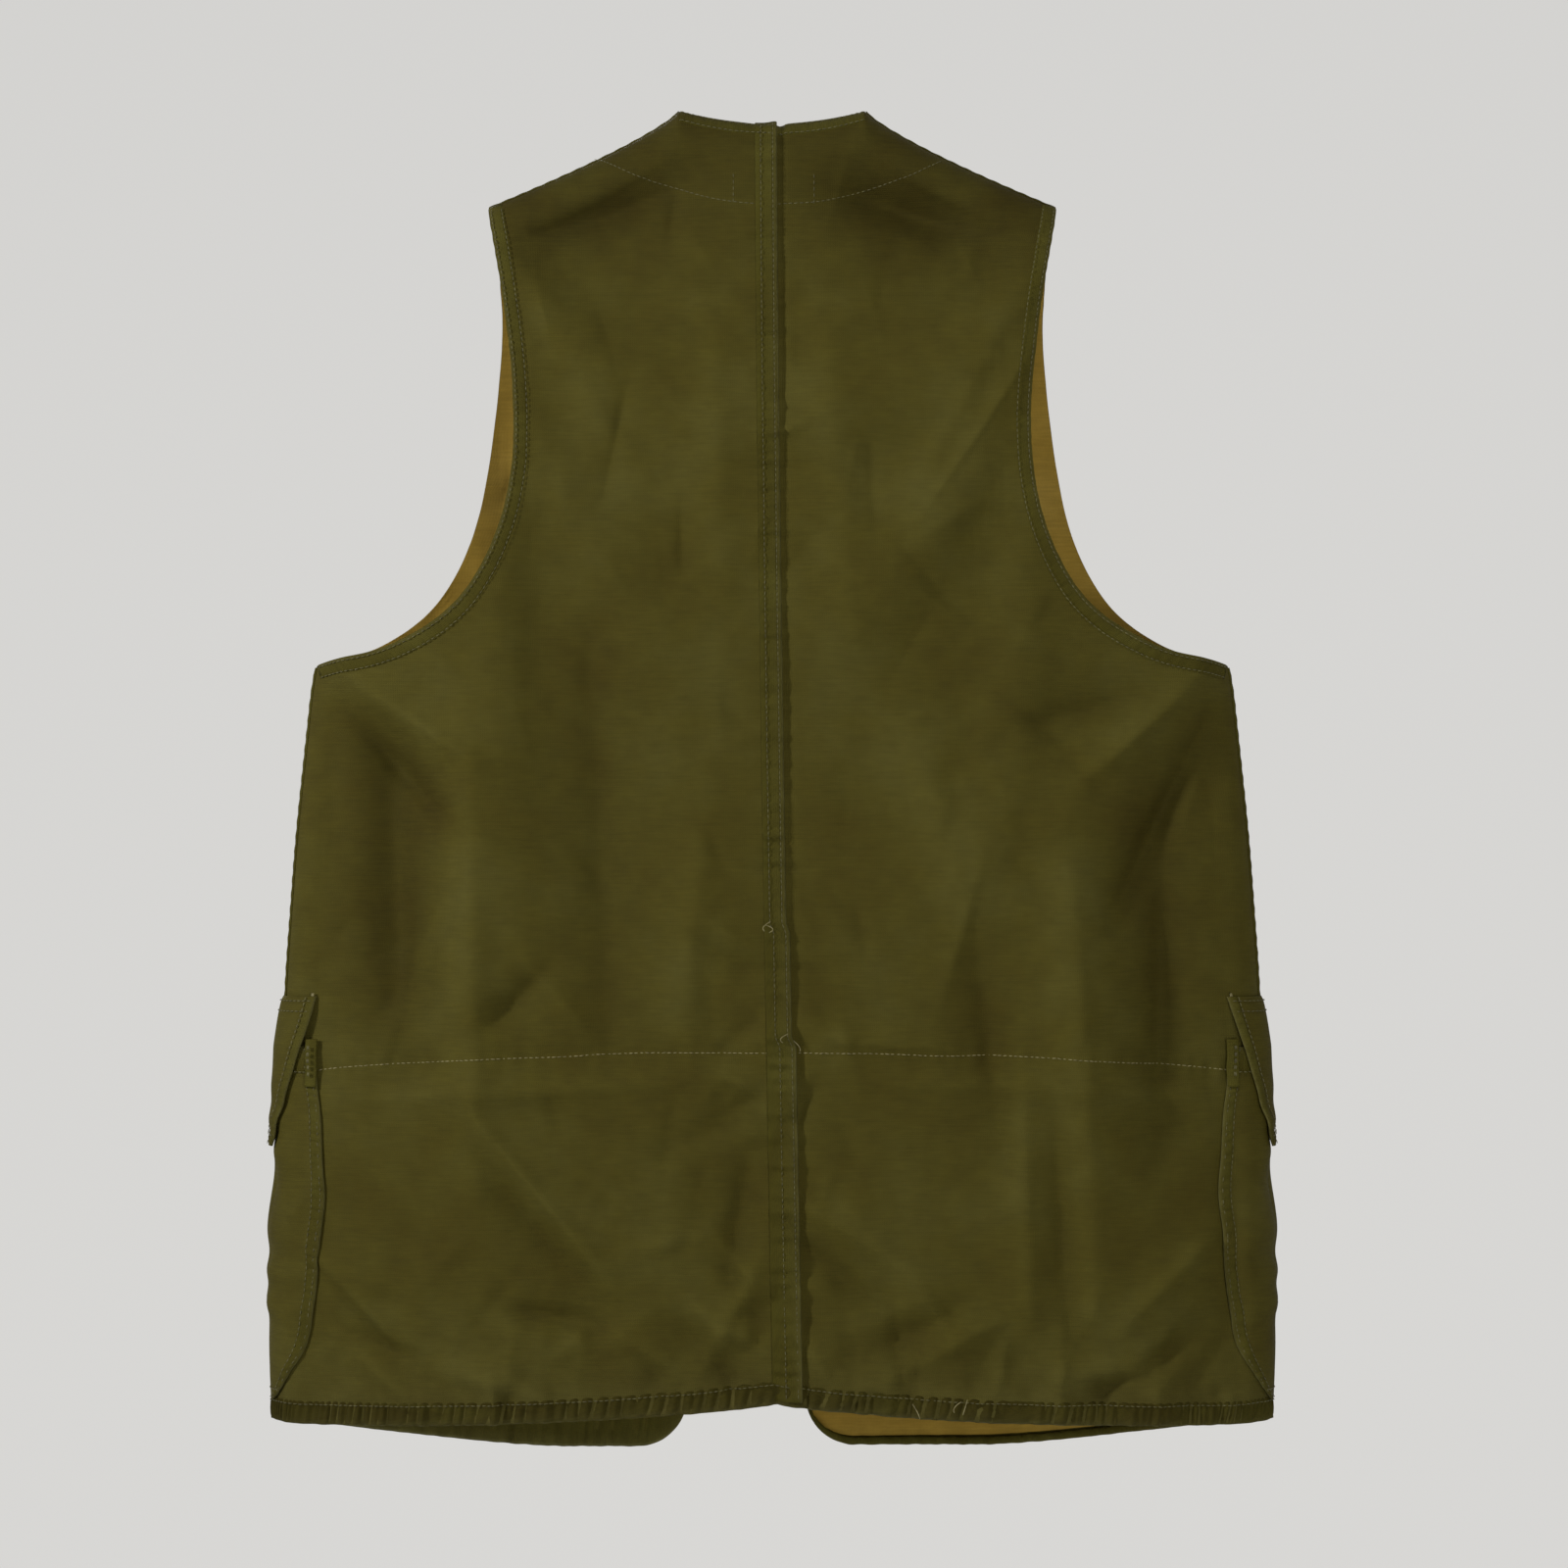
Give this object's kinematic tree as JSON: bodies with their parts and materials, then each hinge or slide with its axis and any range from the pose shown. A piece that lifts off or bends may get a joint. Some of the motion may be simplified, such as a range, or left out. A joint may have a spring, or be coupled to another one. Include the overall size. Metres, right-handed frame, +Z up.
{
  "type": "fishing vest",
  "caption": "Sleeveless canvas fishing vest with a felled back seam, flapped pouch pockets that wrap the sides, a V neck, a button front and an inner game pocket, as it hangs from a hanger.",
  "frame": {"origin": "midway between the two neck corners, at their height, where the hanger carries the vest", "axes": "+Z up, -Y the way the wearer faces, +X the wearer's left"},
  "size_m": [0.6292, 0.1276, 0.8304],
  "materials": {
    "canvas": "olive drab cotton duck, washed and worn",
    "lining": "tan cotton drill",
    "label": "plain woven label",
    "button": "dark brown moulded button",
    "snap": "aged brass press stud"
  },
  "bodies": {
    "root": {"back_panel_left": "canvas", "back_panel_right": "canvas", "centre_back_seam": "canvas", "back_neck_facing": "lining", "neck_label": "label", "game_pocket_panel": "lining", "back_hem_facing": "canvas", "back_armhole_facing_left": "lining", "shoulder_tape_left": "lining", "side_seam_tape_left": "lining", "front_panel_left": "canvas", "front_lining_left": "lining", "front_hem_facing_left": "canvas", "lower_pocket_left": "canvas", "lower_pocket_stud_left": "snap", "chest_pocket_left": "canvas", "chest_pocket_stud_left": "snap", "pocket_tab_left": "canvas", "back_armhole_facing_right": "lining", "shoulder_tape_right": "lining", "side_seam_tape_right": "lining", "front_panel_right": "canvas", "front_lining_right": "lining", "front_hem_facing_right": "canvas", "lower_pocket_right": "canvas", "lower_pocket_stud_right": "snap", "chest_pocket_right": "canvas", "chest_pocket_stud_right": "snap", "pocket_tab_right": "canvas"},
    "front_left": {"front_edge_left": "canvas", "front_edge_facing_left": "canvas"},
    "lower_flap_left": {"lower_flap_left": "canvas", "lower_flap_cap_left": "snap"},
    "chest_flap_left": {"chest_flap_left": "canvas", "chest_flap_cap_left": "snap"},
    "front_right": {"front_edge_right": "canvas", "front_edge_facing_right": "canvas", "front_button_1": "button", "front_button_2": "button", "front_button_3": "button", "front_button_4": "button", "front_button_5": "button"},
    "lower_flap_right": {"lower_flap_right": "canvas", "lower_flap_cap_right": "snap"},
    "chest_flap_right": {"chest_flap_right": "canvas", "chest_flap_cap_right": "snap"}
  },
  "joints": [
    {"name": "front_left_open", "type": "hinge", "parent": "root", "child": "front_left", "pos_m": [0.0574, -0.0302, 0], "axis": [-0.0871, 0.0299, 0.9958], "range_deg": [0, 60]},
    {"name": "front_right_open", "type": "hinge", "parent": "root", "child": "front_right", "pos_m": [-0.0574, -0.0302, 0], "axis": [-0.0871, -0.0299, -0.9958], "range_deg": [0, 60]},
    {"name": "lower_flap_left_lift", "type": "hinge", "parent": "root", "child": "lower_flap_left", "pos_m": [0.2, -0.0492, -0.545], "axis": [-1, 0, 0], "range_deg": [0, 120]},
    {"name": "chest_flap_left_lift", "type": "hinge", "parent": "root", "child": "chest_flap_left", "pos_m": [0.15, -0.043, -0.34], "axis": [-1, 0, 0], "range_deg": [0, 120]},
    {"name": "lower_flap_right_lift", "type": "hinge", "parent": "root", "child": "lower_flap_right", "pos_m": [-0.2, -0.0492, -0.545], "axis": [-1, 0, 0], "range_deg": [0, 120]},
    {"name": "chest_flap_right_lift", "type": "hinge", "parent": "root", "child": "chest_flap_right", "pos_m": [-0.15, -0.043, -0.34], "axis": [-1, 0, 0], "range_deg": [0, 120]}
  ]
}
